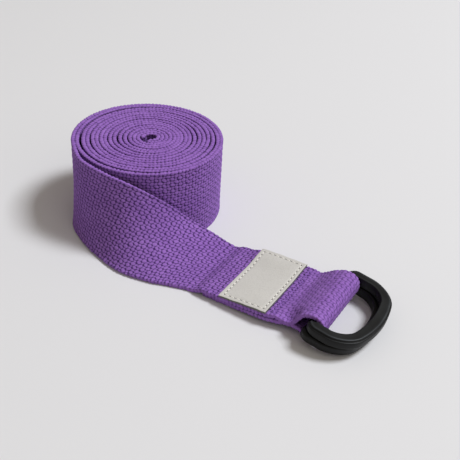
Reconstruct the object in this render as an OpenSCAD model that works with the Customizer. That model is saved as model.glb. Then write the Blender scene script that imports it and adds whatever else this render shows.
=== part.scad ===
// Stretching strap: a woven cotton strap rolled up and standing on its edge.
// The outer turn leaves the roll, twists flat and ends in a sewn loop that
// holds two D-rings. Millimetres, +Z up, +X along the strap's free length,
// origin on the floor at the middle of the footprint.

/* [Webbing] */
// Width of the webbing
web_w = 38; // [30:1:38]
// Thickness of one layer of webbing
web_t = 1.9; // [1.5:0.1:1.9]

/* [Roll] */
// Radius of the roll's centre line where the outer turn leaves it
roll_r = 35; // [34.5:0.1:35.3]
// Distance from one turn to the next
turn_pitch = 2.05; // [2:0.05:2.3]
// Radius of the centre line of the innermost full turn
core_r = 5.4; // [5:0.1:8]
// Direction in which the outer turn leaves the roll, in degrees
leave_angle = 224; // [222:1:226]
// Length of the hem folded back at the free end
hem_len = 17; // [10:1:18]

/* [Buckle end] */
// Distance from the roll's axis to the bend where the doubled end begins
bend_x = 54.5; // [54:0.5:56]
// Sideways distance from the roll's axis to the middle of the flat strap
strap_y = -26.1; // [-28:0.1:-24]
// Distance from the roll's axis to the sewn-in end of the webbing
tuck_x = 60.4; // [60.4:0.1:64]
// Distance from the roll's axis to the near end of the label
label_x = 68.5; // [66:0.1:70]
// Length of the label along the strap
label_len = 22.3; // [18:0.1:22.4]
// Length of the label across the strap
label_w = 37.4; // [30:0.1:37.6]
// Thickness of the label
label_t = 0.9; // [0.6:0.1:1.2]
// Width of the webbing where it is drawn together in the loop
loop_w = 34.4; // [34:0.2:34.4]

/* [D-rings] */
// Clear width inside each ring
ring_in_w = 36; // [36:0.2:36.6]
// Distance from the middle of a ring's bar to the inside of its bow
ring_in_d = 18; // [17:0.1:18.6]
// Width of the ring's band, seen from above
band_w = 4.4; // [4.2:0.1:4.4]
// Thickness of each ring
band_t = 4.6; // [4.4:0.1:4.8]
// Diameter of the bar inside the webbing loop
bar_d = 3.2; // [2.8:0.1:3.2]
// Radius of the bow's corners at the middle of the band
bow_r = 11.8; // [11:0.1:12.6]
// Angle by which the resting rings slope down to the floor
ring_tilt = 8; // [7.8:0.1:8.2]
// Distance by which each ring is shifted along the strap from the pair's middle
ring_shift = 0.8; // [0:0.1:0.8]

/* [Hidden] */

web_colour = "#8a5cb4";
thread_colour = "#7a4ea6";
label_colour = "#d6d3cc";
stitch_colour = "#f2f0ea";
ring_colour = "#24272a";

half_t = web_t / 2;
// Air left between two layers that lie on each other
layer_gap = 0.1;
// Air left between the bend's round knuckle and the lead's square end
bend_gap = 0.12;
// Air left under a label or a row of thread
sewn_gap = 0.08;
label_gap = 0.03;
// Angle between two points of the spiral
step_deg = 9;

// The pair of ring bars turns inside the loop about this point, seen from the side
stack_x = 110;
// Distance between the middles of the two stacked rings
stack_pitch = band_t + 0.1;
// Chamfer along the edges of a ring's band
chamfer = 0.8;
// Radius of the rounded corner between a ring's bar and its arm
heel_r = 2.3;
// Sides of a ring's round bar and of its rounded corners, for a whole circle
bar_sides = 48;
bow_sides = 64;
// Air left between the two bars
bar_gap = 0.26;
// Distance between the middles of the two bars, which lie towards each other
bar_pitch = bar_d + bar_gap;
// Sideways distance of the rings' middle from the strap's middle
ring_off_y = 0.4;
// The lower ring's bow rests on the floor, which sets the height of the pair
stack_z = (stack_pitch + band_t) / 2 * cos(ring_tilt)
    + (ring_in_d + band_w - chamfer) * sin(ring_tilt);
// Radius of the loop's centre line around the bars
loop_r = 4.7;
// The loop's closed end is rounded about this point
nose_x = 110.6;
nose_z = stack_z;

// Furthest reach of the object on each side of the roll's axis, seen from above
reach_right = stack_x + ring_shift + (stack_pitch + band_t - 4 * chamfer) / 2 * sin(ring_tilt)
    + (ring_in_d + band_w) * cos(ring_tilt);
reach_left = roll_r - turn_pitch * (leave_angle - 180) / 360 + half_t;
reach_back = roll_r - turn_pitch * (leave_angle - 90) / 360 + half_t;
reach_front = 52.5;
// Place of the roll's axis in the object's frame
roll_x = (reach_left - reach_right) / 2;
roll_y = (reach_front - reach_back) / 2;

// Edges of the lead, in the roll's own frame. The near edge stays on the floor
// and the far edge comes down from the roll's rim.
near_edge = [
    roll_r * [cos(leave_angle), sin(leave_angle)],
    [-17, -35.8], [-5.2, -43.4], [8, -48.6], [22, -51.9], [35.5, -50.6],
    [45.5, -47.5], [bend_x - half_t - bend_gap, strap_y - web_w / 2]
];
far_edge = [
    [roll_r * cos(leave_angle), roll_r * sin(leave_angle), web_w],
    [-12.3, -34.1, 37.5], [2.6, -36, 36.3], [16.6, -33.3, 33.3],
    [26.5, -24.6, 24.6], [33.6, -15.6, 13.6], [43.5, -9.4, 5.6],
    [bend_x - half_t - bend_gap, strap_y + web_w / 2, half_t]
];
// Facets along the lead for each pair of neighbouring points, and across its width
lead_steps = 5;
lead_cols = 6;

function unit(v) = v / norm(v);

// Point on a smooth curve through the points p, at k whole points plus the share f
function curve_at(p, k, f) =
    let (
        n = len(p) - 1,
        a = p[max(k - 1, 0)],
        b = p[k],
        c = p[min(k + 1, n)],
        d = p[min(k + 2, n)]
    )
    0.5 * (2 * b + (c - a) * f + (2 * a - 5 * b + 4 * c - d) * f * f
        + (3 * b - a - 3 * c + d) * f * f * f);

// The whole smooth curve through the points p, in the given steps for each gap
function curve(p, steps) =
    [for (k = [0:len(p) - 2], i = [0:steps - 1]) curve_at(p, k, i / steps), p[len(p) - 1]];

// Unit direction along a path at its point i
function along(p, i) = unit(p[min(i + 1, len(p) - 1)] - p[max(i - 1, 0)]);

// A path in the plane moved sideways, to the left where off is positive
function beside(p, off) =
    [for (i = [0:len(p) - 1]) let (d = along(p, i)) p[i] + off * [-d[1], d[0]]];

// Outline of a strip that runs along a path in the plane, between two offsets
function strip(p, low, high) =
    let (a = beside(p, low), b = beside(p, high))
    concat(a, [for (i = [len(b) - 1:-1:0]) b[i]]);

function arc(x, z, r, from, to, steps) =
    [for (i = [0:steps]) let (q = from + (to - from) * i / steps) [x + r * cos(q), z + r * sin(q)]];

// Spiral centre line seen from above, from the outer end inwards
turns = (roll_r - core_r) / turn_pitch;
spiral_steps = ceil(turns * 360 / step_deg);
spiral = [
    for (i = [0:spiral_steps])
        let (s = min(i * step_deg, turns * 360), q = leave_angle - s)
        (roll_r - turn_pitch * s / 360) * [cos(q), sin(q)]
];
core_angle = leave_angle - turns * 360;
// Radius of the fold at the free end, and of the hem inside the innermost turn
fold_r = 1.15;
hem_r = core_r - 2 * fold_r;
// Air left between the innermost turn's end and the fold
fold_gap = 0.05;
// Rows and length of the hem's stitches, and how far round the hem they lie
hem_rows = 9;
hem_stitch_len = 2.4;
hem_stitch_deg = 120;

// Height from one layer of the doubled end to the next
layer_pitch = web_t + layer_gap;
// Side view of the doubled end: up onto the second layer, over the bars, round the
// nose and back under the bars. It lifts off the floor towards the rings.
under = [
    [stack_x, stack_z - loop_r], [106, 2.95], [100, 3.1], [95, 3.05], [90, 2.75],
    [84, 2.4], [77, 1.85], [70, 1.3], [tuck_x, half_t]
];
rise = [
    [bend_x, half_t], [bend_x + 1.8, 1.2], [bend_x + 3.4, 2.2], [bend_x + 5.2, 2.95],
    [63, 3.05], [70, 1.3 + layer_pitch], [77, 1.85 + layer_pitch], [84, 2.4 + layer_pitch],
    [90, 2.75 + layer_pitch], [94.5, 5.4], [97.3, 5.8], [99.4, 6.6], [102, 8.35], [104.8, 10.3]
];
profile = concat(
    curve(rise, 4),
    arc(stack_x, stack_z, loop_r, 124, 96, 4),
    arc(nose_x, nose_z, loop_r, 84, -84, 14),
    curve(under, 4)
);

// Half widths of the strap along the doubled end, drawn together towards the loop
waist = [
    [bend_x - 2, web_w / 2], [88, web_w / 2], [91, web_w / 2 - 0.2], [94.5, web_w / 2 - 0.6],
    [98, loop_w / 2 + 0.4], [101, loop_w / 2], [nose_x + 8, loop_w / 2]
];

// Strap's top surface under the label and seam, as height over x
top_line = curve(rise, 8);
function at_x(p, x, i = 0) =
    p[i + 1][0] >= x
        ? p[i] + (p[i + 1] - p[i]) * (x - p[i][0]) / (p[i + 1][0] - p[i][0])
        : at_x(p, x, i + 1);
function slope_x(x) = let (a = at_x(top_line, x - 0.5), b = at_x(top_line, x + 0.5))
    atan2(b[1] - a[1], b[0] - a[0]);

// Height and width of one stitch
stitch_h = 0.3;
stitch_w = 0.5;
// Distance from the label's edge to its line of stitches
stitch_inset = 1.8;
// Distance from one label stitch to the next, and the share of it that is thread
label_pitch = 2.4;
label_share = 0.62;
// Rows of the loop's seam, and the stitches on each side of their middle
seam_x = [92.6, 94.2];
seam_half = 5;
seam_pitch = 3.2;
seam_len = 2.1;

// Puts something on the roll's axis in the object's frame
module from_roll() {
    translate([roll_x, roll_y, 0]) children();
}

// Extrudes a side view across the strap, centred on the strap's middle
module across(w) {
    from_roll() translate([0, strap_y + w / 2, 0]) rotate([90, 0, 0])
        linear_extrude(height = w) children();
}

module webbing_roll() {
    color(web_colour) from_roll() linear_extrude(height = web_w)
        polygon(strip(spiral, -half_t, half_t));
}

// The lead: a strip that turns from standing to lying, faceted in rows and columns
module webbing_lead() {
    near = curve([for (p = near_edge) [p[0], p[1], 0]], lead_steps);
    far = curve(far_edge, lead_steps);
    last = len(near) - 1;
    cols = lead_cols;
    mid = [for (i = [0:last]) [for (j = [0:cols]) near[i] + (far[i] - near[i]) * j / cols]];
    leaving = [-sin(leave_angle), cos(leave_angle), 0];
    face = [for (i = [0:last]) [for (j = [0:cols])
        unit(cross(i == 0 ? leaving : i == last ? [1, 0, 0]
            : mid[i + 1][j] - mid[i - 1][j], far[i] - near[i]))]];
    // The whole strip is raised so that its thickness stands on the floor
    lift = [for (i = [0:last]) [0, 0, half_t * abs(face[i][0][2])]];
    front = [for (i = [0:last]) [for (j = [0:cols])
        mid[i][j] + lift[i] * (1 - j / cols) - half_t * face[i][j]]];
    back = [for (i = [0:last]) [for (j = [0:cols])
        mid[i][j] + lift[i] * (1 - j / cols) + half_t * face[i][j]]];
    // Points run round each cross-section: along its front, then back along its rear
    round = 2 * (cols + 1);
    points = [for (i = [0:last]) each concat(front[i], [for (j = [cols:-1:0]) back[i][j]])];
    sides = [for (i = [0:last - 1], j = [0:round - 1]) let (
        a = round * i + j, b = round * i + (j + 1) % round, c = b + round, d = a + round
    ) each [[a, b, c], [a, c, d]]];
    caps = [for (j = [0:cols - 1], e = [0, last]) let (
        a = round * e + j, b = a + 1, c = round * e + round - 2 - j, d = c + 1
    ) each e == 0 ? [[b, a, d], [b, d, c]] : [[a, b, c], [a, c, d]]];
    color(web_colour) from_roll() polyhedron(points, concat(sides, caps));
}

// The free end: the strap turns back on itself and is sewn to the innermost turn
module webbing_hem() {
    q = core_angle;
    turn_mid = (core_r - fold_r) * [cos(q), sin(q)];
    fold = [for (i = [0:12]) turn_mid + fold_r * [cos(q - i * 15), sin(q - i * 15)]];
    sweep = hem_len / hem_r * 180 / PI;
    lie = [for (i = [1:18]) let (a = q + i * sweep / 18) hem_r * [cos(a), sin(a)]];
    color(web_colour) from_roll() linear_extrude(height = web_w)
        polygon(strip(concat([for (p = fold) p + fold_gap * [sin(q), -cos(q)]], lie),
            -half_t, half_t));
}

// One row of thread on the inside of the hem
module hem_stitches() {
    r = hem_r - half_t - sewn_gap - stitch_h / 2;
    color(thread_colour) from_roll() for (i = [0:hem_rows - 1])
        rotate([0, 0, core_angle + hem_stitch_deg])
            translate([r, 0, (i + 0.5) * web_w / hem_rows])
                cube([stitch_h, stitch_w, hem_stitch_len], center = true);
}

// The doubled end in one outline, which starts with a round knuckle on the bend's axis
module webbing_end() {
    knuckle = arc(bend_x, half_t, half_t, 112, 248, 10);
    outline = strip(profile, -half_t, half_t);
    n = len(outline);
    color(web_colour) intersection() {
        across(web_w) polygon(concat(knuckle, [for (i = [1:n - 2]) outline[i]]));
        from_roll() translate([0, strap_y, -1]) linear_extrude(height = web_w)
            polygon(concat(waist, [for (i = [len(waist) - 1:-1:0]) [waist[i][0], -waist[i][1]]]));
    }
}

// One stitch lying on a face whose height over the strap's centre line is given
module stitch(x, y, over, length, turned) {
    p = at_x(top_line, x);
    from_roll() translate([p[0], strap_y + y, p[1]]) rotate([0, -slope_x(x), 0])
        translate([0, 0, over + stitch_h / 2]) rotate([0, 0, turned])
            cube([length, stitch_w, stitch_h], center = true);
}

// Two rows of thread that close the loop beside the rings
module loop_seam() {
    color(thread_colour) for (x = seam_x, i = [-seam_half:seam_half])
        stitch(x, i * seam_pitch, half_t + sewn_gap, seam_len, 90);
}

module label_patch() {
    steps = 12;
    path = [for (i = [0:steps]) at_x(top_line, label_x + label_len * i / steps)];
    color(label_colour) across(label_w)
        polygon(strip(path, half_t + label_gap, half_t + label_gap + label_t));
}

// Border of separate stitches round the label
module label_stitches() {
    over = half_t + 2 * label_gap + label_t;
    far_y = label_w / 2 - stitch_inset;
    rows_x = [label_x + stitch_inset, label_x + label_len - stitch_inset];
    per_side = floor(far_y * 2 / label_pitch);
    per_end = floor((rows_x[1] - rows_x[0]) / label_pitch);
    side_gap = 2 * far_y / per_side;
    end_gap = (rows_x[1] - rows_x[0]) / per_end;
    color(stitch_colour) {
        for (x = rows_x, i = [0:per_side - 1])
            stitch(x, -far_y + (i + 0.5) * side_gap, over, side_gap * label_share, 90);
        for (y = [-far_y, far_y], i = [0:per_end - 1])
            stitch(rows_x[0] + (i + 0.5) * end_gap, y, over, end_gap * label_share, 0);
    }
}

// Band's cross-section: flat on top and below, a shallow step round the outside
module band_section() {
    w = band_w / 2;
    h = band_t / 2;
    e = chamfer;
    polygon([
        [-w + e, -h], [w - e, -h], [w, -h + e], [w, h - 2 * e], [w - e, h - e],
        [w - e, h - e / 4], [w - 1.25 * e, h], [-w + e, h], [-w, h - e], [-w, -h + e]
    ]);
}

// Depth by which the rest of the band reaches into the bar at the heel
heel_bite = 0.5;

// Round bar below, and above it the rest of the band where it turns into the bar
module heel_section(side) {
    circle(d = bar_d, $fn = bar_sides);
    low = bar_d / 2 - heel_bite;
    high = (stack_pitch - bar_pitch + band_t) / 2;
    w = band_w / 2;
    e = chamfer;
    scale([1, side]) polygon([
        [-w + e, low], [w - e, low], [w, low + e], [w, high - e], [w - e, high],
        [-w + e, high], [-w, high - e], [-w, low + e]
    ]);
}

// A D-ring about the middle of its bar, with its bow towards +X. Its bar lies low
// in the band for side 1 and high for side -1.
module d_ring(side) {
    mid = (ring_in_w + band_w) / 2;
    bow = ring_in_d + band_w / 2;
    arm = bow - bow_r - heel_r;
    for (edge = [-1, 1]) {
        // Heel between the bar and the arm
        translate([heel_r, edge * (mid - heel_r), 0]) rotate([0, 0, edge > 0 ? 90 : 180])
            rotate_extrude(angle = 90, $fn = bar_sides) translate([heel_r, 0])
                heel_section(side);
    }
    translate([0, 0, side * (stack_pitch - bar_pitch) / 2]) {
        for (edge = [-1, 1]) {
            // Straight arm
            translate([heel_r + arm, edge * mid, 0]) rotate([90, 0, -90])
                linear_extrude(height = arm) scale([-edge, 1]) band_section();
            // Corner of the bow
            translate([bow - bow_r, edge * (mid - bow_r), 0]) rotate([0, 0, edge > 0 ? 0 : -90])
                rotate_extrude(angle = 90, $fn = bow_sides) translate([bow_r, 0]) band_section();
        }
        translate([bow, mid - bow_r, 0]) rotate([90, 0, 0])
            linear_extrude(height = 2 * (mid - bow_r)) band_section();
    }
    rotate([90, 0, 0])
        cylinder(h = 2 * (mid - heel_r), d = bar_d, center = true, $fn = bar_sides);
}

// A ring lying in the stack, above the loop's middle or below it
module placed_ring(side) {
    from_roll() translate([
        stack_x + side * (ring_shift + bar_pitch / 2 * sin(ring_tilt)),
        strap_y + ring_off_y,
        stack_z + side * bar_pitch / 2 * cos(ring_tilt)
    ]) rotate([0, ring_tilt, 0]) d_ring(side);
}

module ring_lower() {
    color(ring_colour) placed_ring(-1);
}

module ring_upper() {
    color(ring_colour) placed_ring(1);
}

webbing_roll();
webbing_lead();
webbing_hem();
hem_stitches();
webbing_end();
loop_seam();
label_patch();
label_stitches();
ring_lower();
ring_upper();
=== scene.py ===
"""Looks of the stretching strap: woven webbing rolled up on its edge, with a
sewn label and two D-rings. Lengths below are millimetres in the roll's own
frame, whose axis is the roll's, unless they are named otherwise."""

import math

import bpy
import numpy as np
from mathutils import Matrix, Vector


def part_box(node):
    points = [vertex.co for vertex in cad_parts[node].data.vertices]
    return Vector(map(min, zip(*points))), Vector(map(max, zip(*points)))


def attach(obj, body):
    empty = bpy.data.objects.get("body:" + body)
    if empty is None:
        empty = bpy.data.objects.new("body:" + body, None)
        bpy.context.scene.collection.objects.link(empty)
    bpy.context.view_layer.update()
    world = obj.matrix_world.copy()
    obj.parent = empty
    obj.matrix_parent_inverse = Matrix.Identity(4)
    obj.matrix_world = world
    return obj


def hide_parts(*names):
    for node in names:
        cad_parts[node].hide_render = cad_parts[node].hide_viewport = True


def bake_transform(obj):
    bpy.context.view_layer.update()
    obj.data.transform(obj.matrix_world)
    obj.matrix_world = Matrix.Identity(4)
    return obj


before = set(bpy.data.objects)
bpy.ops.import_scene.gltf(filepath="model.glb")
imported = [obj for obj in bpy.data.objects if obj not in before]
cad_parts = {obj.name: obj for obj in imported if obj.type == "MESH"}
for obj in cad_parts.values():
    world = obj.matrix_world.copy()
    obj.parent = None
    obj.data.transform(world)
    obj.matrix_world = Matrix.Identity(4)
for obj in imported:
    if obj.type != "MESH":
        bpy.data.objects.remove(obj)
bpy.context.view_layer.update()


MM = 0.001
HALF = 0.95  # half the webbing's thickness
END_LOW, END_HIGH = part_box("webbing_end")
BEND_X = 54.5  # where the strap becomes flat
STRAP_Y = -26.1  # the flat strap's middle line
# The roll's axis in the object's frame, found from the sewn end's box
ROLL = np.array([
    END_LOW.x / MM - (BEND_X - HALF),
    (END_LOW.y + END_HIGH.y) / 2 / MM - STRAP_Y,
    0.0,
])


def metres(p):
    """Points of the roll's frame, in metres and the object's frame."""
    return (np.asarray(p, float) + ROLL) * MM


# ------------------------------------------------------------------ camera

def add_camera():
    """The view: its lens, place and axes were fitted to the object as it stands."""
    data = bpy.data.cameras.new("view")
    data.lens = 61.07
    data.sensor_width = 36.0
    data.clip_start = 0.01
    camera = bpy.data.objects.new("view", data)
    bpy.context.scene.collection.objects.link(camera)
    side = Vector((0.8514, 0.5216, 0.0543))
    up = Vector((-0.3366, 0.4642, 0.8193))
    back = Vector((0.4022, -0.7158, 0.5708))
    turn = Matrix((side, up, back)).transposed().to_4x4()
    camera.matrix_world = Matrix.Translation(
        Vector(metres((193.7, -261.6, 212.2)))) @ turn
    bpy.context.scene.camera = camera


add_camera()

# ------------------------------------------------------------- small helpers


def unit(a):
    """Vectors scaled to length 1."""
    return a / np.maximum(np.linalg.norm(a, axis=-1, keepdims=True), 1e-9)


def ease(t):
    """A smooth step from 0 to 1 as t goes from 0 to 1."""
    t = np.clip(t, 0, 1)
    return t * t * (3 - 2 * t)


# Numbers that spread whole numbers over a sine so that their order is lost
HASH_FACTORS, HASH_SPREAD = (12.9898, 78.233, 37.719, 5.371), 43758.5453


def hash01(*k):
    """An even number from 0 to 1 for whole numbers k, the same on each run."""
    s = 0.0
    for x, f in zip(k, HASH_FACTORS):
        s = s + np.asarray(x, float) * f
    return np.abs(np.sin(s) * HASH_SPREAD) % 1.0


def catmull(p, steps):
    """Smooth curve through the points p, with the given steps for each gap."""
    p = np.asarray(p, float)
    n = len(p) - 1
    out = []
    for k in range(n):
        a, b = p[max(k - 1, 0)], p[k]
        c, d = p[k + 1], p[min(k + 2, n)]
        for f in np.arange(steps) / steps:
            out.append(0.5 * (2 * b + (c - a) * f + (2 * a - 5 * b + 4 * c - d) * f ** 2
                              + (3 * b - a - 3 * c + d) * f ** 3))
    out.append(p[n])
    return np.array(out)


def run_length(p):
    """Length along the points p, from 0 at the first."""
    return np.concatenate([[0], np.cumsum(np.linalg.norm(np.diff(p, axis=0), axis=1))])


def soften(a, width):
    """Rows of a smoothed over about the given number of rows; both ends stay."""
    k = np.arange(-4 * width, 4 * width + 1)
    w = np.exp(-0.5 * (k / width) ** 2)
    w /= w.sum()
    pad = len(k) // 2
    ext = np.concatenate([2 * a[0] - a[pad:0:-1], a, 2 * a[-1] - a[-2:-pad - 2:-1]])
    return np.stack([np.convolve(ext[:, j], w, "valid") for j in range(a.shape[1])], 1)


def new_object(name, points, faces, uv=None, attrs=None, slots=None):
    """A smooth mesh object from points in metres and lists of faces. uv is one pair for
    each point, attrs one number for each point, slots one material for each face."""
    mesh = bpy.data.meshes.new(name)
    flat = np.concatenate([np.asarray(f).ravel() for f in faces]).astype(np.int32)
    size = np.concatenate([
        np.full(len(f), f.shape[1]) if isinstance(f, np.ndarray) and f.ndim == 2
        else [len(f)] for f in faces]).astype(np.int32)
    start = np.concatenate([[0], np.cumsum(size)[:-1]]).astype(np.int32)
    mesh.vertices.add(len(points))
    mesh.vertices.foreach_set("co", np.asarray(points, np.float32).ravel())
    mesh.loops.add(len(flat))
    mesh.loops.foreach_set("vertex_index", flat)
    mesh.polygons.add(len(size))
    mesh.polygons.foreach_set("loop_start", start)
    mesh.polygons.foreach_set("loop_total", size)
    if slots is not None:
        mesh.polygons.foreach_set("material_index", np.asarray(slots, np.int32))
    mesh.update(calc_edges=True)
    mesh.polygons.foreach_set("use_smooth", np.full(len(size), True))
    if uv is not None:
        layer = mesh.uv_layers.new(name="cloth")
        layer.data.foreach_set("uv", np.asarray(uv, np.float32)[flat].ravel())
    for key, values in (attrs or {}).items():
        a = mesh.attributes.new(key, "FLOAT", "POINT")
        a.data.foreach_set("value", np.asarray(values, np.float32))
    mesh.validate()
    mesh.update()
    obj = bpy.data.objects.new(name, mesh)
    bpy.context.scene.collection.objects.link(obj)
    return obj


# ---------------------------------------------------------------- the weave

ALONG, ACROSS = 3.5, 3.0  # the weave's repeat
STEP = ALONG / 8  # between two rows of points along the strap
WIDTH = 38.0  # of the webbing
UV_SCALE = 10.0  # millimetres for each unit of the cloth map
UNEVEN = 0.16  # how much lower than its height a bobble may be
# Bobbles: place in the repeat, reach along and across, height, and turn in degrees
BOBBLES = (
    (0.0, 0.0, 1.00, 0.88, 1.00, 0), (1.68, 1.55, 1.08, 0.80, 0.93, 32),
    (1.75, 0.0, 0.84, 0.62, 0.66, 0), (0.0, 1.5, 0.74, 0.62, 0.62, 0),
)


def warp(u, v):
    """The weave's own coordinates, which wander a little, as real yarn does."""
    du = (0.16 * np.sin(0.9 * u + 1.3 * v) + 0.12 * np.sin(0.37 * u - 1.9 * v + 2)
          + 0.2 * np.sin(0.11 * u + 0.4 * v))
    dv = (0.13 * np.sin(1.1 * u - 0.6 * v + 1) + 0.10 * np.sin(0.53 * u + 2.1 * v + 4)
          + 0.15 * np.sin(0.09 * u - 0.3 * v + 3))
    return u + du, v + dv


def weave(u, v, side):
    """How high the weave stands at u along and v across, from 0 in a gap to 1."""
    high = np.zeros(np.broadcast(u, v).shape)
    for k, (cu, cv, ru, rv, top, turn) in enumerate(BOBBLES):
        iu, iv = np.round((u - cu) / ALONG), np.round((v - cv) / ACROSS)
        du, dv = u - cu - iu * ALONG, v - cv - iv * ACROSS
        c, s = math.cos(math.radians(turn)), math.sin(math.radians(turn))
        d = ((du * c + dv * s) / ru) ** 2 + ((dv * c - du * s) / rv) ** 2
        lower = UNEVEN * hash01(iu, iv, k + 3 * side)
        high = np.maximum(high, (top - lower) * np.sqrt(np.clip(1 - d, 0, 1)))
    return high


# The edges' beads of yarn: reach along the edge, and how they differ in place and height
BEAD_REACH, BEAD_SHIFT, BEAD_UNEVEN = 0.84, 0.35, 0.42
BEAD_STAGGER = 0.5  # how far the inner side's beads are from the outer side's


def bead(u, side, end):
    """How far the woven edge stands out at u, from 0 between two beads to 1."""
    k = np.round(u / (ALONG / 2))
    j = hash01(k, 5 + end, 2 + side)
    d = (u - k * ALONG / 2 - (j - 0.5) * BEAD_SHIFT) / BEAD_REACH
    high = 1 - BEAD_UNEVEN * hash01(k, 9 + end, 4 + side)
    return high * np.sqrt(np.clip(1 - d ** 2, 0, 1))


# ------------------------------------------------------- the strap's centre

# Middle of the two rings' bars, middle of the loop's front, and the loop's radius
STACK_X, STACK_Z, NOSE_X, LOOP_R = 110.0, 7.611, 110.6, 4.7
# The roll's outer turn, the spacing of its turns, and where the strap leaves, in degrees
ROLL_R, PITCH, LEAVE = 35.0, 2.05, 224.0


def arc(x, z, r, start, end, steps):
    """Points on a circle about (x, z) between two angles in degrees."""
    q = np.radians(np.linspace(start, end, steps + 1))
    return np.stack([x + r * np.cos(q), z + r * np.sin(q)], 1)


# The sewn end from the side, as x and z: its top layer, its bottom layer, and the whole
# from the sewn-in end round the bars to the bend
RISE = catmull([
    [54.5, .95], [56.3, 1.2], [57.9, 2.2], [59.7, 2.95], [63, 3.05], [70, 3.3],
    [77, 3.85], [84, 4.4], [90, 4.75], [94.5, 5.4], [97.3, 5.8], [99.4, 6.6],
    [102, 8.35], [104.8, 10.3]], 24)
UNDER = catmull([
    [110, 2.911], [106, 2.95], [100, 3.1], [95, 3.05], [90, 2.75], [84, 2.4],
    [77, 1.85], [70, 1.3], [60.4, .95]], 24)
PROFILE = np.concatenate([
    RISE, arc(STACK_X, STACK_Z, LOOP_R, 124, 96, 24),
    arc(NOSE_X, STACK_Z, LOOP_R, 84, -84, 96), UNDER])[::-1]
# Half widths along the doubled end, towards the near side and the far side
WAIST_X = [54.5, 88, 91, 94.5, 98, 101, 104, 120]
NEAR_W = [19, 19, 18.7, 18.1, 17.5, 17.1, 16.8, 16.8]
FAR_W = [19, 19, 18.9, 18.7, 18.2, 17.8, 17.4, 17.4]


def puff(x, y):
    """How far the sewn end is lifted at x along and y from its middle: the label's stiff
    far side stands up a little, and the loop's near corner is pressed down by the rings."""
    stiff = ease((y - 4) / 14) * ease((x - 62) / 8) * (1.7 - 0.8 * ease((x - 72) / 18))
    lift = stiff * ease((99 - x) / 6) + 0.7 * ease((y - 6) / 11) * ease((x - 97) / 8)
    press = 3.5 * ease((-y - 8) / 8.5) * ease((x - 94) / 8) * ease((106.5 - x) / 5)
    return lift - press


def tail_edges():
    """Near and far edge from the sewn-in end, round the bars, to the bend."""
    x, z = PROFILE[:, 0], PROFILE[:, 1]
    under = np.arange(len(x)) < len(UNDER)
    # The bottom layer has slipped sideways towards its sewn-in end
    slip = np.where(under, 0.85 * ease((92 - x) / 30), 0.0)
    near = np.stack([x, STRAP_Y - np.interp(x, WAIST_X, NEAR_W) + slip, z], 1)
    far = np.stack([x, STRAP_Y + np.interp(x, WAIST_X, FAR_W) + slip, z], 1)
    return near, far


def lead_edges():
    """Near and far edge from the bend to where the strap meets the roll."""
    q = math.radians(LEAVE)
    x = BEND_X - HALF - 0.12  # just short of the bend, so that the curve stays smooth
    rim = [ROLL_R * math.cos(q), ROLL_R * math.sin(q)]
    near = catmull([
        rim + [0], [-17, -35.8, 0], [-5.2, -43.4, 0], [8, -48.6, 0], [22, -51.9, 0],
        [35.5, -50.6, 0], [45.5, -47.5, 0], [x, STRAP_Y - WIDTH / 2, 0]], 60)
    far = catmull([
        rim + [WIDTH], [-12.3, -34.1, 37.5], [2.6, -36, 36.3], [16.6, -33.3, 33.3],
        [26.5, -24.6, 24.6], [33.6, -15.6, 13.6], [43.5, -9.4, 5.6],
        [x, STRAP_Y + WIDTH / 2, HALF]], 60)
    # Where the strap lies flat, its middle is half its thickness over the floor
    run = np.gradient(near, axis=0) + np.gradient(far, axis=0)
    flat = np.abs(unit(np.cross(run, far - near))[:, 2])
    near[:, 2] += HALF * flat
    return near[::-1], far[::-1]


# Turns after which the roll is a little slack: turn, how much, over how many turns
SLACK = ((1.64, .50, .2), (3.5, .46, .2), (5.6, .34, .3), (7.4, .34, .3),
         (9.4, .34, .3), (11.5, .2, .3))
CORE = 4.7  # radius at which the innermost turn folds back
FOLD_R = 0.96  # radius of the fold at the hem
TURN_POINTS = 720  # points for each turn
DRIFT = 1.3 * np.array([0.85, 0.52])  # the coil's middle lies to one side of its rim


def roll_edges():
    """Near and far edge round the roll, from outside inwards, then the hem."""
    turns = (ROLL_R - CORE) / PITCH
    t = np.linspace(0, turns, int(turns * TURN_POINTS))
    slack = sum(a * ease((t - at) / wide + 0.5) for at, a, wide in SLACK)
    total = sum(a for _, a, _ in SLACK)
    q = np.radians(LEAVE - 360 * t)
    r = ROLL_R - PITCH * t - slack + total * np.clip(t / turns, 0, 1)
    # No turn is quite round
    r = r + (0.06 * np.sin(3 * q + 1.1 * t) + 0.05 * np.sin(5 * q - 0.7 * t)) * ease(t - 1)
    path = np.stack([r * np.cos(q), r * np.sin(q)], 1)
    q0 = q[-1]
    mid = (CORE - FOLD_R) * np.array([math.cos(q0), math.sin(q0)])
    a = q0 - np.radians(np.linspace(8, 180, 24))
    fold = mid + FOLD_R * np.stack([np.cos(a), np.sin(a)], 1)
    a = q0 + np.linspace(0.06, 4.9, 90)
    hem_r = CORE - 2 * FOLD_R + 0.24 * (a - q0) + 0.1 * np.sin(2 * a) * ease((a - q0) / 1.5)
    hem = hem_r[:, None] * np.stack([np.cos(a), np.sin(a)], 1)
    shift = DRIFT * (0.34 * ease((t - 1.2) / 0.5) - 0.2 * ease((t - 3) / 4)
                     + 0.8 * ease((t - 8) / 5))[:, None]
    path = np.concatenate([path + shift, fold + shift[-1], hem + shift[-1]])
    s = run_length(path)
    # The upper rim's turns stand a little lower here and there
    sink = 0.14 * (1 + np.sin(s / 23.0) * 0.6 + 0.4 * np.sin(s / 8.7 + 1)) * ease(s / 60)
    near = np.column_stack([path, np.zeros(len(s))])
    far = np.column_stack([path, WIDTH - sink])
    return near, far


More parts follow.
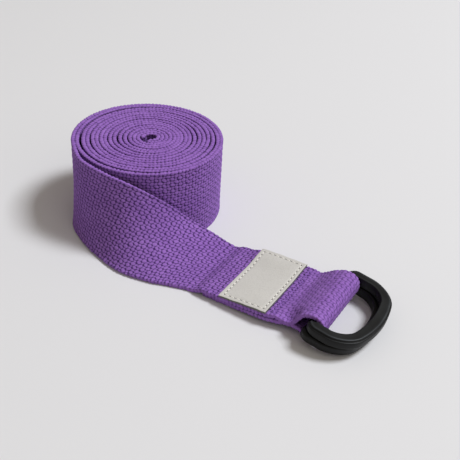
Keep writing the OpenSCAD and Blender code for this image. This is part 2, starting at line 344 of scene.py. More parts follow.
def resample(near, far, u0):
    """Both edges in even steps along their middle, and the length there, from u0 on."""
    s = run_length((near + far) / 2)
    n = int(round(s[-1] / STEP))
    at = np.linspace(0, s[-1], n + 1)
    pick = [np.stack([np.interp(at, s, e[:, k]) for k in range(3)], 1) for e in (near, far)]
    return pick[0], pick[1], u0 + np.arange(n + 1) * STEP


# ---------------------------------------------------------- the strap's mesh

tail_n, tail_f, tail_u = resample(*tail_edges(), 0.0)
lead_n, lead_f, lead_u = resample(*lead_edges(), tail_u[-1])
roll_n, roll_f, roll_u = resample(*roll_edges(), lead_u[-1])
N_TAIL = len(tail_u)
ROLL_START = N_TAIL + len(lead_u) - 1
near = np.concatenate([tail_n, lead_n[1:], roll_n[1:]])
far = np.concatenate([tail_f, lead_f[1:], roll_f[1:]])
U = np.concatenate([tail_u, lead_u[1:], roll_u[1:]])
station = np.arange(len(U))

# The joins of the three parts are smoothed, and the roll is left as it is
both = soften(np.concatenate([near, far], 1), 2)
fade = ease((ROLL_START + 60 - station) / 40)[:, None]
near = near + (both[:, :3] - near) * fade
far = far + (both[:, 3:] - far) * fade

ROWS = 85  # rows of points on each face
EDGE = 5  # points round each edge
RIM = 1.0  # width of the rounded edge outside the faces
v_rows = np.linspace(RIM, WIDTH - RIM, ROWS)
grid = near[:, None] + (far - near)[:, None] * (v_rows / WIDTH)[None, :, None]
in_tail = station < N_TAIL
mid_x = (near[:, 0] + far[:, 0]) / 2
nose = int(np.argmax(mid_x[:N_TAIL]))
top_layer = in_tail & (station > nose)
raise_by = puff(grid[..., 0], grid[..., 1] - STRAP_Y)
# The bottom layer follows the lifting in part, and rises where the top is pressed down
under_raise = np.where(raise_by < 0, -0.25 * raise_by, raise_by * 0.7)
raise_by = np.where(top_layer[:, None], raise_by, under_raise)
# Round the bars only the upper side of the loop moves
over_bars = ease((mid_x - 104) / 4)[:, None] * ease((grid[:, ROWS // 2, 2] - 5) / 4)[:, None]
raise_by = np.where(grid[..., 0] > 106, raise_by * over_bars, raise_by)
grid[..., 2] += np.where(in_tail[:, None], raise_by, 0.0)
d_along = np.gradient(grid, axis=0)
d_across = np.gradient(grid, axis=1)
normal = unit(np.cross(d_across, d_along))

uu, vv = U[:, None], v_rows[None, :]
BACK_U, BACK_V = 900.9, 0.8  # the inner face shows another part of the weave
front_uv = warp(uu, vv)
back_uv = warp(uu + BACK_U, vv + BACK_V)
high_out, high_in = weave(*front_uv, 0), weave(*back_uv, 1)
# In the loop the weave is pulled tight, so its gaps are shallower
tight = np.where(in_tail, ease((mid_x - 88) / 8), 0.0)[:, None]
FACE_HALF = 0.91  # from the middle surface to the tops of the weave
relief = 0.38 - 0.10 * tight
half_out = FACE_HALF - relief * (1 - high_out)
half_in = FACE_HALF - relief * (1 - high_in)
# The rows of the seam pull the top layer in
SEAM_X = 93.4
groove = np.where(top_layer, np.exp(-((mid_x - SEAM_X) / 1.1) ** 2), 0.0)
half_out -= 0.28 * groove[:, None]
# cave: painted shade for the weave's gaps, 0 on a crown and 1 at the bottom of a gap
cave_out, cave_in = 1 - high_out, 1 - high_in

angles = np.radians([70, 38, 0, -38, -70])
across_dir = unit(far - near)
SQUARE = 0.32  # power that makes the edge's section squarer than a circle


def rim_half(b):
    """Half thickness at the edge where a bead stands out by b."""
    return 0.74 + 0.25 * b


def edge_points(end):
    """Points round the far edge, from the outer face to the inner, or the near edge."""
    row = ROWS - 1 if end else 0
    way = across_dir if end else -across_dir
    base = grid[:, row]
    out_n = normal[:, row]
    points, cave = [], []
    for a in angles:
        side = 0.5 + 0.5 * math.sin(a)
        b = side * bead(U, 0, end) + (1 - side) * bead(U + BEAD_STAGGER, 1, end)
        c = abs(math.cos(a)) ** SQUARE
        s = math.copysign(abs(math.sin(a)) ** SQUARE, a)
        points.append(base + way * ((0.48 + 0.52 * b) * c)[:, None]
                      + out_n * (rim_half(b) * s)[:, None])
        # Painted shade between the edge's beads, less at the edge's outermost point
        cave.append((1 - b) * (0.62 + 0.38 * abs(math.sin(a))))
    return np.stack(points, 1), np.stack(cave, 1)


# The faces' own edge rows follow the beads, so that the edge is one rounded braid, and they take
# the painted shade between the beads
for row, end in ((0, 0), (ROWS - 1, 1)):
    bead_out, bead_in = bead(U, 0, end), bead(U + BEAD_STAGGER, 1, end)
    half_out[:, row], half_in[:, row] = rim_half(bead_out), rim_half(bead_in)
    cave_out[:, row], cave_in[:, row] = 1 - bead_out, 1 - bead_in

far_pts, far_cave = edge_points(1)
near_pts, near_cave = edge_points(0)
outer = grid + normal * half_out[..., None]
inner = grid - normal * half_in[..., None]
master = np.concatenate([outer, far_pts, inner[:, ::-1], near_pts[:, ::-1]], 1)
cave = np.concatenate([cave_out, far_cave, cave_in[:, ::-1], near_cave[:, ::-1]], 1)
one = np.ones((len(U), 1))
rim_far = (np.repeat(U[:, None], EDGE, 1), one * (WIDTH - RIM + np.cos(angles))[None])
rim_near = (np.repeat(U[:, None], EDGE, 1), one * (RIM - np.cos(angles[::-1]))[None])
uv_u = np.concatenate([front_uv[0], rim_far[0], back_uv[0][:, ::-1], rim_near[0]], 1)
uv_v = np.concatenate([front_uv[1], rim_far[1], back_uv[1][:, ::-1], rim_near[1]], 1)
on_face = np.concatenate([one * np.ones(ROWS), one * np.zeros(EDGE)] * 2, 1)
# In the loop the weave's bump is weaker and the painted shade in its gaps lighter
on_face = on_face * (1 - 0.65 * tight)
cave = cave * (1 - 0.42 * tight)
M = master.shape[1]


def rows_of(outer_rows, inner_rows, far_edge, near_edge):
    """Places in a row of master for the chosen rows of points and edge points."""
    keep = list(outer_rows) + [ROWS + k for k in far_edge]
    keep += sorted(ROWS + EDGE + (ROWS - 1 - r) for r in inner_rows)
    keep += [2 * ROWS + EDGE + k for k in near_edge]
    return np.array(sorted(keep))


# The roll hides most of its faces, so these have few rows of points and no weave. All
# rows stay up to the roll. On its outer turn the outer face keeps them all, and further
# in only a few are left.
MIDDLE, QUARTERS = ROWS // 2, (21, 63)
BARE = 0.9  # half thickness of a face without weave
RIM_ROWS = [ROWS - 2, ROWS - 1]
outer_turn = rows_of(range(ROWS), [0, 1, MIDDLE, *QUARTERS] + RIM_ROWS,
                     range(EDGE), range(EDGE))
few = [0, MIDDLE] + RIM_ROWS
inside = rows_of(few, few, range(EDGE), (0, 2, 4))
subsets = (np.arange(M), outer_turn, inside)
bare = station > ROLL_START + 4
for r in (MIDDLE, *QUARTERS):
    master[bare, ROWS + EDGE + (ROWS - 1 - r)] = grid[bare, r] - normal[bare, r] * BARE
turn_end = ROLL_START + int(2 * math.pi * 34.3 * 1.05 / STEP)  # a little over one turn
bare = station > turn_end
master[bare, MIDDLE] = grid[bare, MIDDLE] + normal[bare, MIDDLE] * BARE

kinds = np.zeros(len(U), int)
kinds[ROLL_START + 6:] = 1
kinds[turn_end:] = 2

index = -np.ones((len(U), M), int)
count = 0
for i, kind in enumerate(kinds):
    keep = subsets[kind]
    index[i, keep] = count + np.arange(len(keep))
    count += len(keep)

faces = []
for kind, keep in enumerate(subsets):
    rows = np.where((kinds[:-1] == kind) & (kinds[1:] == kind))[0]
    a = index[rows][:, keep]
    b = index[rows + 1][:, keep]
    quad = np.stack([a, b, np.roll(b, -1, 1), np.roll(a, -1, 1)], -1).reshape(-1, 4)
    faces.append(quad)
# Where the rows of points become fewer, one side of each face takes in the extra points
for i in np.where(kinds[:-1] != kinds[1:])[0]:
    lots, few_keep = subsets[kinds[i]], subsets[kinds[i + 1]]
    for k, c in enumerate(few_keep):
        d = few_keep[(k + 1) % len(few_keep)]
        between = [m for m in lots if (c < m < d) or (d <= c and (m > c or m < d))]
        between.sort(key=lambda m: (m - c) % M)
        faces.append([index[i, c], index[i + 1, c], index[i + 1, d], index[i, d]]
                     + [index[i, m] for m in between[::-1]])
for i, flip in ((0, False), (len(U) - 1, True)):
    loop = [int(index[i, m]) for m in subsets[kinds[i]]]
    faces.append(loop[::-1] if flip else loop)
used = index >= 0
points, uv = np.zeros((count, 3)), np.zeros((count, 2))
# Each point keeps its painted shade for the weave's gaps, and how much it lies on a face
painted_gap_shade, face_mask = np.zeros(count), np.zeros(count)
points[index[used]] = master[used]
points[:, 2] = np.maximum(points[:, 2], 0.0)
uv[index[used]] = np.stack([uv_u[used], uv_v[used]], 1) / UV_SCALE
painted_gap_shade[index[used]] = cave[used]
face_mask[index[used]] = on_face[used]
strap = new_object("strap_webbing", metres(points), faces, uv,
                   attrs={"painted_gap_shade": painted_gap_shade, "face": face_mask})

# ------------------------------------------------------------------ D-rings

TILT = math.radians(8)  # the bows lean down to the floor
BAR_R = 1.6
BAR_Z = 1.73  # half the distance between the two bars
MID_Z = 0.62  # from a bar's middle to the middle of its band
SLID = 0.8  # how far the upper ring has slid forward, and the lower one back
# The band's middle line: its arms, its bow and the corners between them
ARM_Y, BOW_X, BOW_R = 20.1, 15.5, 7.8
HEEL = 2.4  # radius of the heels, where the arms meet the bar
HALF_W, HALF_H = 2.25, 2.3  # the band's half width and half height
BULGE = 4.65  # how far the bow's middle stands out from a straight bow
SIDE_Y = 0.4  # sideways distance of the rings from the strap's middle
SKEW = 0.042  # the bows don't lie quite square to the bars


def rounded(cx, cz, r, start):
    """A quarter of a circle about (cx, cz), from the start angle in degrees."""
    return [(cx + r * math.cos(q), cz + r * math.sin(q))
            for q in np.radians(np.linspace(start, start + 90, 6))]


# The band's outer side and top: how far in from its side and down from the ledge, and
# how much of the round bar's height belongs to the point. In turn they are the wall,
# the rounded edge of the ledge, the groove, the ridge and the slightly hollow top.
SIDE_SHAPE = (
    (0.0, 0.42, 0.9), (0.08, 0.16, 0.75), (0.26, 0.03, 0.55), (0.50, 0.02, 0.45),
    (0.68, 0.10, 0.4), (0.76, -0.30, 0.35), (0.86, -0.62, 0.3), (1.05, -0.80, 0.25),
    (1.30, -0.85, 0.15), (1.70, -0.78, 0.1))
NEARLY = 0.98  # a rounding's share of the bar's radius, so that no two points meet


def section(w, low, high, block, low_r):
    """The band's section, across and up. Where block is 1 it has a flat top with a
    ridge and a shallow step outside it; where block is 0 it is the round bar."""
    bar = 1 - block
    ledge = high - 0.85 * block
    soft = block * 0.55 + bar * w * NEARLY
    inner_low = min(0.95, w * NEARLY)
    out = [(w, low + low_r + 0.1)]
    out += [(w - a * block - bar * w * (1 - k), ledge - b * block - bar * w * k)
            for a, b, k in SIDE_SHAPE]
    out += [(-w * 0.1, high - 0.09 * block), (-w + soft + 0.45 * block, high - 0.03 * block)]
    out += rounded(-w + soft, high - soft, soft, 90)
    out += rounded(-w + inner_low, low + inner_low, inner_low, 180)
    out += rounded(w - low_r, low + low_r, low_r, 270)
    return out


# Points of the section with painted highlight, above 0, or painted shade, below 0
PAINTED_LIGHT_SHADE = {1: -0.3, 4: -0.3, 5: -0.5, 6: -0.5, 7: 0.1, 8: 0.5, 9: 0.4, 10: 0.1, 13: 0.1, 14: 0.2}


def ring_path():
    """The ring's middle line about its bar's middle, seen from above. A row holds place,
    outward direction, how much of the full band there is, and how much of the bulge."""
    path = [(0.0, y, -1.0, 0.0, 0.0) for y in np.linspace(0, ARM_Y - HEEL, 8)]
    for d in np.linspace(0, 90, 15)[1:]:
        q = math.radians(d)
        path.append((HEEL - HEEL * math.cos(q), ARM_Y - HEEL + HEEL * math.sin(q),
                     -math.cos(q), math.sin(q), float(ease((d + 6) / 32))))
    path += [(x, ARM_Y, 0.0, 1.0, 1.0) for x in np.linspace(HEEL, BOW_X - BOW_R, 9)[1:]]
    for q in np.radians(np.linspace(0, 90, 31)[1:]):
        path.append((BOW_X - BOW_R + BOW_R * math.sin(q), ARM_Y - BOW_R + BOW_R * math.cos(q),
                     math.sin(q), math.cos(q), 1.0))
    path += [(BOW_X, y, 1.0, 0.0, 1.0) for y in np.linspace(ARM_Y - BOW_R, 0, 6)[1:]]
    # So far it is one half, from the middle of the bar to the middle of the bow
    path += [(x, -y, nx, -ny, k) for x, y, nx, ny, k in path[-2:0:-1]]
    path = np.array(path)
    # The bow is one wide curve between its two corners, and not quite square
    bowed = ease((path[:, 0] - 5) / 4) * (1 - (path[:, 1] / ARM_Y) ** 2)
    path[:, 0] += BULGE * bowed
    path[:, 0] += SKEW * path[:, 1] * ease((path[:, 0] - 1) / 11)
    path[:, 1] -= SKEW * path[:, 0]
    run = np.roll(path[:, :2], -1, 0) - np.roll(path[:, :2], 1, 0)
    turned = unit(np.stack([-run[:, 1], run[:, 0]], 1))
    turned *= np.sign((turned * path[:, 2:4]).sum(1))[:, None]
    path[:, 2:4] = turned
    return np.column_stack([path, bowed])


def ring_mesh(name, side):
    """One D-ring in its place. side is 1 for the upper ring, -1 for the lower."""
    path = ring_path()
    points, painted_light_shade = [], []
    for x, y, nx, ny, block, out in path:
        w = BAR_R + (HALF_W - BAR_R) * block + 0.3 * out
        high = BAR_R + (MID_Z + HALF_H - BAR_R) * block
        low = -BAR_R + (MID_Z - HALF_H + BAR_R) * block
        near_heel = 1 - ease((x - 0.5) / 3.5)
        low_r = min(1.0 + 0.6 * near_heel, w * NEARLY)
        for k, (a, z) in enumerate(section(w, low, high, block, low_r)):
            points.append((x + a * nx, y + a * ny, side * z))
            # Painted highlight and shade at each point: 0.5 where there is neither, as on the
            # round bar
            painted_light_shade.append(0.5 + PAINTED_LIGHT_SHADE.get(k, 0.0) * block)
    m = len(points) // len(path)
    idx = np.arange(len(path) * m).reshape(len(path), m)
    nxt = np.roll(idx, -1, 0)
    quads = np.stack([idx, np.roll(idx, -1, 1), np.roll(nxt, -1, 1), nxt], -1).reshape(-1, 4)
    if side < 0:
        quads = quads[:, ::-1]
    p = np.array(points)
    c, s = math.cos(TILT), math.sin(TILT)
    x = p[:, 0] * c + p[:, 2] * s + STACK_X + side * (SLID + BAR_Z * s)
    z = -p[:, 0] * s + p[:, 2] * c + STACK_Z + side * BAR_Z * c
    world = np.stack([x, p[:, 1] + STRAP_Y + SIDE_Y, z], 1)
    return new_object(name, metres(world), [quads], attrs={"painted_light_shade": painted_light_shade})


ring_upper = ring_mesh("ring_top", 1)
ring_lower = ring_mesh("ring_bottom", -1)

# -------------------------------------------------------------------- label

# The label's start, length along the strap, width across it and thickness
LABEL_X, LABEL_L, LABEL_W, LABEL_T = 68.5, 22.3, 37.4, 0.9
LABEL_TOP = HALF + 0.03 + LABEL_T  # from the strap's middle surface to the label's top
rise_run = np.gradient(RISE, axis=0)


def on_top(x, over, y=0.0):
    """A point over the strap's middle surface at x and y, moved out by over, as (x, z)."""
    x = np.asarray(x, float)
    z = np.interp(x, RISE[:, 0], RISE[:, 1]) + puff(x, y)
    slope = np.interp(x, RISE[:, 0], rise_run[:, 1] / rise_run[:, 0])
    k = 1 / np.sqrt(1 + slope ** 2)
    return x - over * slope * k, z + over * k


# The sewing: its distance from the label's edge, its pitch, how deep and how wide it
# pulls the label in, and the shares of the pitch from end to end and hole to hole
INSET, PITCH_ST, SEW_DIP, DIP_WIDE = 1.8, 2.4, 0.2, 0.55
STITCH_SHARE, HOLE_SHARE = 0.66, 0.78
SEW_Y = LABEL_W / 2 - INSET
ROW_X = (LABEL_X + INSET, LABEL_X + LABEL_L - INSET)
PER_SIDE = int(SEW_Y * 2 / PITCH_ST)
PER_END = int((ROW_X[1] - ROW_X[0]) / PITCH_ST)


def label_wave(x, y):
    """The label's own slight waviness."""
    return 0.12 * np.sin((x - LABEL_X) * 0.23 + 0.6) * np.cos(y * 0.11)


def label_top(x, y):
    """How far the label's top face lies over its flat height: dips along the sewing."""
    ex = np.minimum(np.abs(x - ROW_X[0]), np.abs(x - ROW_X[1]))
    ey = np.abs(np.abs(y) - SEW_Y)
    inside_x = (x > ROW_X[0] - 0.6) & (x < ROW_X[1] + 0.6)
    inside_y = np.abs(y) < SEW_Y + 0.6
    dip = np.maximum(np.exp(-(ex / DIP_WIDE) ** 2) * inside_y,
                     np.exp(-(ey / DIP_WIDE) ** 2) * inside_x)
    return -SEW_DIP * dip + label_wave(x, y)


def label_mesh():
    """The label: a thin piece that follows the strap, with a sharp rounded border."""
    nx, ny = 61, 101
    xs = np.linspace(0, 1, nx) * LABEL_L + LABEL_X
    ys = np.linspace(-1, 1, ny) * LABEL_W / 2
    X, Y = np.meshgrid(xs, ys, indexing="ij")
    inset = np.minimum.reduce([X - LABEL_X, LABEL_X + LABEL_L - X, LABEL_W / 2 - np.abs(Y)])
    rim = 0.1 * (1 - np.clip(inset / 0.35, 0, 1)) ** 2
    px, pz = on_top(X, LABEL_TOP + label_top(X, Y) - rim, Y)
    bx, bz = on_top(X, HALF - 0.06, Y)
    uneven = 0.08 * np.sin(X * 0.9 + Y * 0.35) * (inset < 0.01)  # the cut edge only
    top = np.stack([px, Y + STRAP_Y + uneven, pz], -1).reshape(-1, 3)
    low = np.stack([bx, Y + STRAP_Y, bz], -1).reshape(-1, 3)
    idx = np.arange(nx * ny).reshape(nx, ny)
    q = np.stack([idx[:-1, :-1], idx[1:, :-1], idx[1:, 1:], idx[:-1, 1:]], -1).reshape(-1, 4)
    border = np.concatenate([idx[:, 0], idx[-1, 1:], idx[-2::-1, -1], idx[0, -2:0:-1]])
    nxt = np.roll(border, -1)
    off = nx * ny
    wall = np.stack([border, border + off, nxt + off, nxt], -1)
    faces = [q, q[:, ::-1] + off, wall]
    # The first material is the face's, the second the underside's and the cut edge's
    slots = [0] * len(q) + [1] * len(q) + [1] * len(wall)
    uv = np.concatenate([np.stack([X, Y], -1).reshape(-1, 2)] * 2) / UV_SCALE
    obj = new_object("label_leather", metres(np.concatenate([top, low])), faces, uv, slots=slots)
    edge = obj.modifiers.new("edge", "EDGE_SPLIT")
    edge.split_angle = math.radians(50)
    bpy.context.view_layer.objects.active = obj
    obj.select_set(True)
    bpy.ops.object.modifier_apply(modifier="edge")
    obj.select_set(False)
    return obj


label = label_mesh()


def thread(pieces, name, r, rise, rings=9, around=8):
    """Stitches as short arched threads: each piece is start, end and up direction."""
    points, faces, uv = [], [], []
    for a, b, up in pieces:
        a, b, up = (np.asarray(x, float) for x in (a, b, up))
        way = unit(b - a)
        flat = unit(np.cross(up, way))
        base = len(points)
        for t in np.linspace(0, 1, rings):
            bulge = math.sin(math.pi * t)
            mid = a + (b - a) * t + up * (rise * bulge ** 0.6 - 0.1)
            w = r * (0.45 + 0.55 * bulge ** 0.5)
            for k in range(around):
                q = 2 * math.pi * k / around
                points.append(mid + flat * w * math.cos(q) + up * w * 0.8 * math.sin(q))
                uv.append((t * np.linalg.norm(b - a) / UV_SCALE,
                           k / around * 0.1 + base * 0.01))
        idx = base + np.arange(rings * around).reshape(rings, around)
        faces.append(np.stack([idx[:-1], np.roll(idx[:-1], -1, 1), np.roll(idx[1:], -1, 1),
                               idx[1:]], -1).reshape(-1, 4))
        faces.append(list(idx[0][::-1]))
        faces.append(list(idx[-1]))
    return new_object(name, metres(np.array(points)), faces, uv)


def sewn(x, y, over, length, turned, askew=0.0):
    """Start, end and up direction of a stitch on the strap's top. It runs along the
    strap, or across it where turned, and its ends are askew by that much in all."""
    ends = []
    for s in (-0.5, 0.5):
        ex = x + (askew * s if turned else s * length)
        ey = y + (s * length if turned else 0)
        px, pz = on_top(ex, over, ey)
        ends.append((float(px), STRAP_Y + ey + (0 if turned else askew * s), float(pz)))
    p0, p1 = on_top(x, 0.0), on_top(x, 1.0)
    return ends[0], ends[1], (float(p1[0] - p0[0]), 0.0, float(p1[1] - p0[1]))


def label_sewing():
    """The border's stitches, and small dark pieces of painted shade for the holes they dive
    into.
    """
    st, holes = [], []
    over = LABEL_TOP - SEW_DIP
    side_gap, end_gap = 2 * SEW_Y / PER_SIDE, (ROW_X[1] - ROW_X[0]) / PER_END
    spots = [(x, -SEW_Y + (i + 0.5) * side_gap, side_gap, True)
             for x in ROW_X for i in range(PER_SIDE)]
    spots += [(ROW_X[0] + (i + 0.5) * end_gap, y, end_gap, False)
              for y in (-SEW_Y, SEW_Y) for i in range(PER_END)]
    for k, (x, y, gap, turned) in enumerate(spots):
        lift = over + float(label_wave(x, y))
        askew = (float(hash01(k, 3)) - 0.5) * 0.16
        st.append(sewn(x, y, lift, gap * STITCH_SHARE, turned, askew))
        for s in (-0.5, 0.5):
            hx = x + (0 if turned else s * gap * HOLE_SHARE)
            hy = y + (s * gap * HOLE_SHARE if turned else 0)
            holes.append(sewn(hx, hy, lift + 0.035, 0.42, turned))
    return st, holes


label_st, label_holes = label_sewing()
label_thread = thread(label_st, "label_thread", 0.27, 0.17)
# The needle holes are small dark pieces on the label: painted shade, as they have no depth
label_hole = thread(label_holes, "label_holes", 0.27, 0.05, rings=5, around=6)

# Two rows close the loop, with their stitches half hidden in the weave
SEAM_ROWS, SEAM_PITCH, SEAM_STITCH, SEAM_OVER = (92.75, 94.05), 1.9, 1.45, HALF - 0.3
seam_st = []
for col, x in enumerate(SEAM_ROWS):
    for i in range(-9, 10):
        y = i * SEAM_PITCH + 0.4 * col + (float(hash01(i, col)) - 0.5) * 0.2
        askew = (float(hash01(i, col + 5)) - 0.5) * 0.2
        if abs(y) < 17.4:
            seam_st.append(sewn(x, y, SEAM_OVER, SEAM_STITCH, True, askew))
seam = thread(seam_st, "loop_seam_thread", 0.26, 0.2)

# ---------------------------------------------------------------- materials


class Nodes:
    """Short names for building a material's nodes."""

    def __init__(self, name):
        self.m = bpy.data.materials.new(name)
        self.m.use_nodes = True
        self.t = self.m.node_tree
        self.p = self.t.nodes["Principled BSDF"]

    def add(self, kind, **values):
        n = self.t.nodes.new(kind)
        for k, v in values.items():
            setattr(n, k, v)
        return n

    def put(self, value, socket):
        if isinstance(value, bpy.types.NodeSocket):
            self.t.links.new(value, socket)
        elif value is not None:
            socket.default_value = value

    def math(self, op, a, b=None, clamp=False):
        n = self.add("ShaderNodeMath", operation=op, use_clamp=clamp)
        self.put(a, n.inputs[0])
        self.put(b, n.inputs[1])
        return n.outputs[0]

    def noise(self, vector, scale, detail=3.0, rough=0.55):
        n = self.add("ShaderNodeTexNoise")
        self.put(vector, n.inputs["Vector"])
        n.inputs["Scale"].default_value = scale
        n.inputs["Detail"].default_value = detail
        n.inputs["Roughness"].default_value = rough
        return n.outputs["Fac"]

    def stretch(self, vector, scale):
        n = self.add("ShaderNodeMapping")
        self.put(vector, n.inputs["Vector"])
        n.inputs["Scale"].default_value = scale
        return n.outputs[0]

    def ramp(self, value, low, high, a, b):
        n = self.add("ShaderNodeMapRange")
        self.put(value, n.inputs["Value"])
        for k, x in zip(("From Min", "From Max", "To Min", "To Max"), (low, high, a, b)):
            n.inputs[k].default_value = x
        return n.outputs[0]

    def mix(self, factor, a, b):
        n = self.add("ShaderNodeMix", data_type="RGBA")
        self.put(factor, n.inputs[0])
        self.put(a, n.inputs[6])
        self.put(b, n.inputs[7])
        return n.outputs[2]

    def bump(self, height, strength, distance, normal=None):
        n = self.add("ShaderNodeBump")
        self.put(height, n.inputs["Height"])
        n.inputs["Strength"].default_value = strength
        n.inputs["Distance"].default_value = distance
        if normal is not None:
            self.put(normal, n.inputs["Normal"])
        return n.outputs[0]

    def attribute(self, name):
        return self.add("ShaderNodeAttribute", attribute_name=name).outputs["Fac"]

    def uv(self):
        return self.add("ShaderNodeUVMap", uv_map="cloth").outputs[0]

    def object_space(self):
        return self.add("ShaderNodeTexCoord").outputs["Object"]


def rgb(r, g, b):
    """A colour as seen on a screen, 0 to 255, turned into Blender's linear values."""
    def lin(c):
        c = c / 255
        return c / 12.92 if c <= 0.04045 else ((c + 0.055) / 1.055) ** 2.4
    return (lin(r), lin(g), lin(b), 1.0)


def weave_field(k, uv):
    """The weave's height as nodes, as weave() gives it but with all bobbles of a kind
    equally high, and a number for each cell."""
    parts = k.add("ShaderNodeSeparateXYZ")
    k.put(uv, parts.inputs[0])
    u = k.math("MULTIPLY", parts.outputs[0], UV_SCALE)
    v = k.math("MULTIPLY", parts.outputs[1], UV_SCALE)
    high = None
    for cu, cv, ru, rv, top, turn in BOBBLES:
        du = k.math("WRAP", k.math("SUBTRACT", u, cu), ALONG / 2)
        du.node.inputs[2].default_value = -ALONG / 2
        dv = k.math("WRAP", k.math("SUBTRACT", v, cv), ACROSS / 2)
        dv.node.inputs[2].default_value = -ACROSS / 2
        c, s = math.cos(math.radians(turn)), math.sin(math.radians(turn))
        a = k.math("ADD", k.math("MULTIPLY", du, c / ru), k.math("MULTIPLY", dv, s / ru))
        b = k.math("SUBTRACT", k.math("MULTIPLY", dv, c / rv), k.math("MULTIPLY", du, s / rv))
        d = k.math("ADD", k.math("MULTIPLY", a, a), k.math("MULTIPLY", b, b))
        dome = k.math("SQRT", k.math("SUBTRACT", 1.0, d, clamp=True))
        dome = k.math("MULTIPLY", dome, top)
        high = dome if high is None else k.math("MAXIMUM", high, dome)
    cell = k.add("ShaderNodeCombineXYZ")
    k.put(k.math("ROUND", k.math("DIVIDE", u, ALONG)), cell.inputs[0])
    k.put(k.math("ROUND", k.math("DIVIDE", v, ACROSS)), cell.inputs[1])
    white = k.add("ShaderNodeTexWhiteNoise", noise_dimensions="2D")
    k.put(cell.outputs[0], white.inputs["Vector"])
    return high, white.outputs["Value"]


def webbing_material():
    """Woven cotton: its purple on the yarn's crowns, and painted shade in the gaps between them.
    """
    k = Nodes("woven_cotton")
    uv = k.uv()
    high, cell = weave_field(k, uv)
    on_face = k.attribute("face")
    rim_gap = k.attribute("painted_gap_shade")
    face_gap = k.math("SUBTRACT", 1.0, high)
    gap = k.math("ADD", k.math("MULTIPLY", face_gap, on_face),
                 k.math("MULTIPLY", rim_gap, k.math("SUBTRACT", 1.0, on_face)))
    yarn = k.noise(k.stretch(uv, (18.0, 60.0, 1.0)), 1.0, 4.0, 0.6)
    fibre = k.noise(k.stretch(uv, (60.0, 170.0, 1.0)), 1.0, 3.0, 0.6)
    patch = k.noise(k.stretch(uv, (0.6, 0.9, 1.0)), 1.0, 2.0)
    crown_tone = k.mix(k.ramp(patch, 0.3, 0.7, 0.0, 1.0), rgb(141, 97, 181), rgb(151, 107, 191))
    crown_tone = k.mix(k.math("MULTIPLY", cell, 0.45), crown_tone, rgb(122, 80, 162))
    tone = k.mix(k.ramp(yarn, 0.3, 0.75, 0.0, 0.45), crown_tone, rgb(168, 126, 204))
    # The rims get a little more painted shade than the faces
    gap = k.math("ADD", gap, k.math("MULTIPLY", k.math("SUBTRACT", 1.0, on_face), 0.14))
    # Painted shade: the gaps in the weave and between the edge's beads are mixed towards dark
    # purple
    dark = k.mix(k.ramp(gap, 0.42, 0.95, 0.0, 0.9), tone, rgb(50, 26, 80))
    k.put(dark, k.p.inputs["Base Color"])
    k.put(k.ramp(fibre, 0.2, 0.8, 0.82, 0.96), k.p.inputs["Roughness"])
    k.p.inputs["Specular IOR Level"].default_value = 0.15
    k.p.inputs["Sheen Weight"].default_value = 0.12
    k.p.inputs["Sheen Roughness"].default_value = 0.5
    k.p.inputs["Sheen Tint"].default_value = rgb(196, 160, 232)
    b = k.bump(k.math("MULTIPLY", high, on_face), 0.55, 0.0003)
    b = k.bump(yarn, 0.5, 0.00022, b)
    k.put(k.bump(fibre, 0.4, 0.0001, b), k.p.inputs["Normal"])
    return k.m


def thread_material(name, colour, shade, mapped=True):
    """Twisted thread. Its grain follows the cloth map, or the object if it isn't mapped."""
    k = Nodes(name)
    if mapped:
        place = k.stretch(k.uv(), (40.0, 90.0, 1.0))
    else:
        place = k.stretch(k.object_space(), (900.0, 900.0, 900.0))
    grain = k.noise(place, 1.0, 3.0)
    k.put(k.mix(k.ramp(grain, 0.3, 0.7, 0.0, 1.0), colour, shade), k.p.inputs["Base Color"])
    k.put(k.ramp(grain, 0.2, 0.8, 0.55, 0.8), k.p.inputs["Roughness"])
    k.p.inputs["Sheen Weight"].default_value = 0.2
    k.put(k.bump(grain, 0.6, 0.0001), k.p.inputs["Normal"])
    return k.m


def leather_material(name, light, dull, grain_strength):
    """The label's pale leather, with a fine pebbled grain."""
    k = Nodes(name)
    place = k.object_space()
    n = k.add("ShaderNodeTexVoronoi", feature="F1")
    k.put(place, n.inputs["Vector"])
    n.inputs["Scale"].default_value = 1700.0
    pebble = n.outputs["Distance"]
    fine_noise = k.noise(place, 900.0, 4.0)
    cloud = k.noise(place, 90.0, 3.0)
    tone = k.mix(k.ramp(cloud, 0.3, 0.7, 0.0, 1.0), light, dull)
    tone = k.mix(k.ramp(pebble, 0.35, 0.75, 0.0, 0.14), tone, rgb(150, 147, 142))
    k.put(tone, k.p.inputs["Base Color"])
    k.put(k.ramp(fine_noise, 0.3, 0.7, 0.5, 0.7), k.p.inputs["Roughness"])
    k.p.inputs["Specular IOR Level"].default_value = 0.35
    b = k.bump(pebble, grain_strength, 0.0001)
    k.put(k.bump(fine_noise, 0.25, 0.0001, b), k.p.inputs["Normal"])
    return k.m


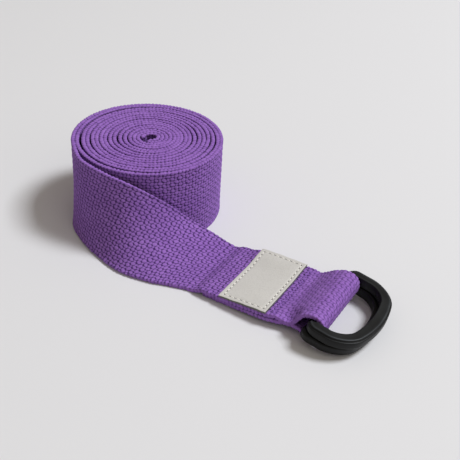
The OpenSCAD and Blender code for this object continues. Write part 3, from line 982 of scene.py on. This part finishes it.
def plastic_material():
    """Black plastic, with painted highlight on its ridge and top, painted shade in its groove.
    """
    k = Nodes("moulded_plastic")
    place = k.object_space()
    fine_noise = k.noise(place, 1500.0, 3.0)
    broad = k.noise(place, 120.0, 3.0)
    painted_light_shade = k.attribute("painted_light_shade")
    tone = k.mix(k.ramp(broad, 0.3, 0.7, 0.0, 1.0), rgb(10, 11, 12), rgb(14, 16, 17))
    # Painted highlight on the ridge and top, where the section's value is over 0.5
    tone = k.mix(k.math("MULTIPLY", k.ramp(painted_light_shade, 0.5, 1.0, 0.0, 1.0),
                        k.ramp(broad, 0.35, 0.65, 0.4, 0.8)), tone, rgb(60, 64, 68))
    # Painted shade on the wall, the ledge's edge and the groove, where the value is under 0.45
    tone = k.mix(k.ramp(painted_light_shade, 0.45, 0.0, 0.0, 0.95), tone, rgb(3, 3, 4))
    k.put(tone, k.p.inputs["Base Color"])
    k.put(k.ramp(broad, 0.3, 0.7, 0.38, 0.48), k.p.inputs["Roughness"])
    k.p.inputs["Specular IOR Level"].default_value = 0.24
    k.put(k.bump(fine_noise, 0.12, 0.0001), k.p.inputs["Normal"])
    return k.m


def hole_material():
    """Painted shade of a needle hole: a dull dark grey, darker here and there."""
    k = Nodes("painted_hole_shade")
    light = rgb(96, 92, 88)
    dark = tuple(c * 0.8 for c in light[:3]) + (1.0,)
    k.put(k.mix(k.noise(k.object_space(), 700.0, 2.0), light, dark), k.p.inputs["Base Color"])
    k.p.inputs["Roughness"].default_value = 0.9
    return k.m


PURPLE, PURPLE_SHADE = rgb(138, 88, 184), rgb(112, 66, 158)
strap.data.materials.append(webbing_material())
for name, light, dull, grain_strength in (
        ("label_face", rgb(208, 206, 201), rgb(200, 198, 193), 0.3),
        ("label_edge", rgb(112, 110, 108), rgb(92, 90, 88), 0.2)):
    label.data.materials.append(leather_material(name, light, dull, grain_strength))
label_thread.data.materials.append(
    thread_material("white_thread", rgb(246, 244, 238), rgb(222, 219, 212)))
label_hole.data.materials.append(hole_material())
seam.data.materials.append(thread_material("purple_thread", PURPLE, PURPLE_SHADE))
plastic = plastic_material()
ring_upper.data.materials.append(plastic)
ring_lower.data.materials.append(plastic)
hem_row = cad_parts["hem_stitches"]
hem_row.data.materials.clear()
hem_row.data.materials.append(thread_material("hem_thread", PURPLE, PURPLE_SHADE, mapped=False))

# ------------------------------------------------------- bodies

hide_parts("webbing_roll", "webbing_lead", "webbing_end", "webbing_hem")
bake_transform(strap)
for piece, node, slot_name in (
        (label, "label_patch", "label"), (label_thread, "label_stitches", "label_thread"),
        (label_hole, None, "label_thread"), (seam, "loop_seam", "thread")):
    if node:
        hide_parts(node)
    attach(piece, "buckle_end")
for piece, node, body in ((ring_upper, "ring_upper", "upper_ring"),
                          (ring_lower, "ring_lower", "lower_ring")):
    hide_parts(node)
    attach(piece, body)

# ------------------------------------------------------------ floor and light


def add_floor():
    mesh = bpy.data.meshes.new("floor")
    e = 8.0  # from the middle to each side, in metres
    mesh.from_pydata([(-e, -e, 0), (e, -e, 0), (e, e, 0), (-e, e, 0)], [], [(0, 1, 2, 3)])
    floor = bpy.data.objects.new("floor", mesh)
    bpy.context.scene.collection.objects.link(floor)
    k = Nodes("pale_floor")
    k.p.inputs["Base Color"].default_value = rgb(221, 221, 223)
    k.p.inputs["Roughness"].default_value = 0.8
    k.p.inputs["Specular IOR Level"].default_value = 0.2
    mesh.materials.append(k.m)


LOOK_AT = (0, 0, 0.02)  # what the lights are turned to, in metres


def add_light(name, place, size, power, colour):
    """A square light of that size and power in watts, with its place in metres."""
    data = bpy.data.lights.new(name, "AREA")
    data.size = size
    data.energy = power
    data.color = colour
    light = bpy.data.objects.new(name, data)
    bpy.context.scene.collection.objects.link(light)
    light.location = place
    way = Vector(LOOK_AT) - Vector(place)
    light.rotation_euler = way.to_track_quat("-Z", "Y").to_euler()


add_floor()
add_light("key", (1.28, 0.98, 2.42), 0.8, 71.0, (0.965, 0.99, 1.03))
add_light("fill", (1.7, -0.5, 1.3), 1.6, 5.0, (1.0, 0.985, 0.96))
world = bpy.data.worlds.new("studio")
world.use_nodes = True
sky = world.node_tree.nodes["Background"]
sky.inputs["Color"].default_value = (1.0, 0.91, 0.79, 1.0)
sky.inputs["Strength"].default_value = 0.31
bpy.context.scene.world = world
bpy.context.scene.view_settings.view_transform = "Standard"
